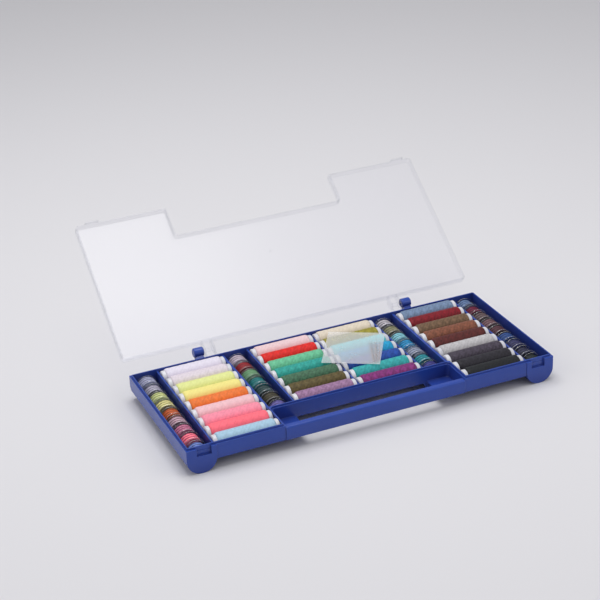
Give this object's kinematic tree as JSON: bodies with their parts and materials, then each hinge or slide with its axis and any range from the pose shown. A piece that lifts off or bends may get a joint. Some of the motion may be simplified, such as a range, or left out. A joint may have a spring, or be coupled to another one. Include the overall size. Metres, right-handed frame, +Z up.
{
  "type": "sewing thread box",
  "caption": "Shallow blue sewing box with a clear hinged lid, bays for thread spools, round-bottomed bobbin channels and a carrying handle in front.",
  "frame": {"origin": "on the table under the middle of the box with its lid open", "axes": "+X to the right along the box's length, +Y towards the hinge, +Z up"},
  "size_m": [0.348, 0.2792, 0.1204],
  "materials": {
    "blue_polypropylene": "moulded, satin gloss",
    "clear_styrene": "clear, polished mould",
    "clear_bobbin": "clear, polished mould",
    "mixed_thread": "wound thread in the colours of the spools",
    "clear_film": "thin translucent film",
    "needle_steel": "bright nickel-plated steel",
    "thread_lilac_white": "spun polyester thread, cross wound",
    "thread_pink_white": "spun polyester thread, cross wound",
    "thread_lime_yellow": "spun polyester thread, cross wound",
    "thread_pale_yellow": "spun polyester thread, cross wound",
    "thread_orange": "spun polyester thread, cross wound",
    "thread_light_pink": "spun polyester thread, cross wound",
    "thread_rose_pink": "spun polyester thread, cross wound",
    "thread_coral_pink": "spun polyester thread, cross wound",
    "thread_pale_aqua": "spun polyester thread, cross wound",
    "thread_shell_pink": "spun polyester thread, cross wound",
    "thread_red": "spun polyester thread, cross wound",
    "thread_light_green": "spun polyester thread, cross wound",
    "thread_teal": "spun polyester thread, cross wound",
    "thread_dark_sea_green": "spun polyester thread, cross wound",
    "thread_olive_brown": "spun polyester thread, cross wound",
    "thread_mauve": "spun polyester thread, cross wound",
    "thread_cream": "spun polyester thread, cross wound",
    "thread_olive_yellow": "spun polyester thread, cross wound",
    "thread_pale_turquoise": "spun polyester thread, cross wound",
    "thread_sky_blue": "spun polyester thread, cross wound",
    "thread_blue": "spun polyester thread, cross wound",
    "thread_turquoise": "spun polyester thread, cross wound",
    "thread_plum": "spun polyester thread, cross wound",
    "thread_steel_blue": "spun polyester thread, cross wound",
    "thread_dark_red": "spun polyester thread, cross wound",
    "thread_khaki": "spun polyester thread, cross wound",
    "thread_brown": "spun polyester thread, cross wound",
    "thread_russet": "spun polyester thread, cross wound",
    "thread_light_grey": "spun polyester thread, cross wound",
    "thread_slate_grey": "spun polyester thread, cross wound",
    "thread_charcoal": "spun polyester thread, cross wound",
    "thread_black": "spun polyester thread, cross wound"
  },
  "bodies": {
    "case": {"tray": "blue_polypropylene", "spool_b3_light_green": "thread_light_green", "spool_b4_teal": "thread_teal", "spool_b5_dark_sea_green": "thread_dark_sea_green", "spool_c1_cream": "thread_cream", "spool_c2_olive_yellow": "thread_olive_yellow", "spool_c3_pale_turquoise": "thread_pale_turquoise", "spool_c4_sky_blue": "thread_sky_blue", "spool_c5_blue": "thread_blue", "spool_c6_turquoise": "thread_turquoise"},
    "lid": {"lid": "clear_styrene"},
    "spool_a1": {"spool_a1_lilac_white": "thread_lilac_white"},
    "spool_a2": {"spool_a2_pink_white": "thread_pink_white"},
    "spool_a3": {"spool_a3_lime_yellow": "thread_lime_yellow"},
    "spool_a4": {"spool_a4_pale_yellow": "thread_pale_yellow"},
    "spool_a5": {"spool_a5_orange": "thread_orange"},
    "spool_a6": {"spool_a6_light_pink": "thread_light_pink"},
    "spool_a7": {"spool_a7_rose_pink": "thread_rose_pink"},
    "spool_a8": {"spool_a8_coral_pink": "thread_coral_pink"},
    "spool_a9": {"spool_a9_pale_aqua": "thread_pale_aqua"},
    "spool_b1": {"spool_b1_shell_pink": "thread_shell_pink"},
    "spool_b2": {"spool_b2_red": "thread_red"},
    "spool_b6": {"spool_b6_olive_brown": "thread_olive_brown"},
    "spool_b7": {"spool_b7_mauve": "thread_mauve"},
    "spool_c7": {"spool_c7_plum": "thread_plum"},
    "spool_d1": {"spool_d1_steel_blue": "thread_steel_blue"},
    "spool_d2": {"spool_d2_dark_red": "thread_dark_red"},
    "spool_d3": {"spool_d3_khaki": "thread_khaki"},
    "spool_d4": {"spool_d4_brown": "thread_brown"},
    "spool_d5": {"spool_d5_russet": "thread_russet"},
    "spool_d6": {"spool_d6_light_grey": "thread_light_grey"},
    "spool_d7": {"spool_d7_slate_grey": "thread_slate_grey"},
    "spool_d8": {"spool_d8_charcoal": "thread_charcoal"},
    "spool_d9": {"spool_d9_black": "thread_black"},
    "bobbins_1": {"bobbins_1": "clear_bobbin", "bobbin_thread_1": "mixed_thread"},
    "bobbins_2": {"bobbins_2": "clear_bobbin", "bobbin_thread_2": "mixed_thread"},
    "bobbins_3": {"bobbins_3": "clear_bobbin", "bobbin_thread_3": "mixed_thread"},
    "bobbins_4": {"bobbins_4": "clear_bobbin", "bobbin_thread_4": "mixed_thread"},
    "needle_packet": {"needle_packet": "clear_film", "needles": "needle_steel"}
  },
  "joints": [
    {"name": "lid_hinge", "type": "hinge", "parent": "case", "child": "lid", "pos_m": [0, 0.01364, 0.02565], "axis": [-1, 0, 0], "range_deg": [-143.8, 0]},
    {"name": "spool_a1_lift", "type": "slide", "parent": "case", "child": "spool_a1", "axis": [0, 0, 1], "range_m": [0, 0.03]},
    {"name": "spool_a2_lift", "type": "slide", "parent": "case", "child": "spool_a2", "axis": [0, 0, 1], "range_m": [0, 0.03]},
    {"name": "spool_a3_lift", "type": "slide", "parent": "case", "child": "spool_a3", "axis": [0, 0, 1], "range_m": [0, 0.03]},
    {"name": "spool_a4_lift", "type": "slide", "parent": "case", "child": "spool_a4", "axis": [0, 0, 1], "range_m": [0, 0.03]},
    {"name": "spool_a5_lift", "type": "slide", "parent": "case", "child": "spool_a5", "axis": [0, 0, 1], "range_m": [0, 0.03]},
    {"name": "spool_a6_lift", "type": "slide", "parent": "case", "child": "spool_a6", "axis": [0, 0, 1], "range_m": [0, 0.03]},
    {"name": "spool_a7_lift", "type": "slide", "parent": "case", "child": "spool_a7", "axis": [0, 0, 1], "range_m": [0, 0.03]},
    {"name": "spool_a8_lift", "type": "slide", "parent": "case", "child": "spool_a8", "axis": [0, 0, 1], "range_m": [0, 0.03]},
    {"name": "spool_a9_lift", "type": "slide", "parent": "case", "child": "spool_a9", "axis": [0, 0, 1], "range_m": [0, 0.03]},
    {"name": "spool_b1_lift", "type": "slide", "parent": "case", "child": "spool_b1", "axis": [0, 0, 1], "range_m": [0, 0.03]},
    {"name": "spool_b2_lift", "type": "slide", "parent": "case", "child": "spool_b2", "axis": [0, 0, 1], "range_m": [0, 0.03]},
    {"name": "spool_b6_lift", "type": "slide", "parent": "case", "child": "spool_b6", "axis": [0, 0, 1], "range_m": [0, 0.03]},
    {"name": "spool_b7_lift", "type": "slide", "parent": "case", "child": "spool_b7", "axis": [0, 0, 1], "range_m": [0, 0.03]},
    {"name": "spool_c7_lift", "type": "slide", "parent": "case", "child": "spool_c7", "axis": [0, 0, 1], "range_m": [0, 0.03]},
    {"name": "spool_d1_lift", "type": "slide", "parent": "case", "child": "spool_d1", "axis": [0, 0, 1], "range_m": [0, 0.03]},
    {"name": "spool_d2_lift", "type": "slide", "parent": "case", "child": "spool_d2", "axis": [0, 0, 1], "range_m": [0, 0.03]},
    {"name": "spool_d3_lift", "type": "slide", "parent": "case", "child": "spool_d3", "axis": [0, 0, 1], "range_m": [0, 0.03]},
    {"name": "spool_d4_lift", "type": "slide", "parent": "case", "child": "spool_d4", "axis": [0, 0, 1], "range_m": [0, 0.03]},
    {"name": "spool_d5_lift", "type": "slide", "parent": "case", "child": "spool_d5", "axis": [0, 0, 1], "range_m": [0, 0.03]},
    {"name": "spool_d6_lift", "type": "slide", "parent": "case", "child": "spool_d6", "axis": [0, 0, 1], "range_m": [0, 0.03]},
    {"name": "spool_d7_lift", "type": "slide", "parent": "case", "child": "spool_d7", "axis": [0, 0, 1], "range_m": [0, 0.03]},
    {"name": "spool_d8_lift", "type": "slide", "parent": "case", "child": "spool_d8", "axis": [0, 0, 1], "range_m": [0, 0.03]},
    {"name": "spool_d9_lift", "type": "slide", "parent": "case", "child": "spool_d9", "axis": [0, 0, 1], "range_m": [0, 0.03]},
    {"name": "bobbins_1_lift", "type": "slide", "parent": "case", "child": "bobbins_1", "axis": [0, 0, 1], "range_m": [0, 0.03]},
    {"name": "bobbins_2_lift", "type": "slide", "parent": "case", "child": "bobbins_2", "axis": [0, 0, 1], "range_m": [0, 0.03]},
    {"name": "bobbins_3_lift", "type": "slide", "parent": "case", "child": "bobbins_3", "axis": [0, 0, 1], "range_m": [0, 0.03]},
    {"name": "bobbins_4_lift", "type": "slide", "parent": "case", "child": "bobbins_4", "axis": [0, 0, 1], "range_m": [0, 0.03]},
    {"name": "needle_packet_lift", "type": "slide", "parent": "case", "child": "needle_packet", "axis": [0, 0, 1], "range_m": [0, 0.04]}
  ]
}
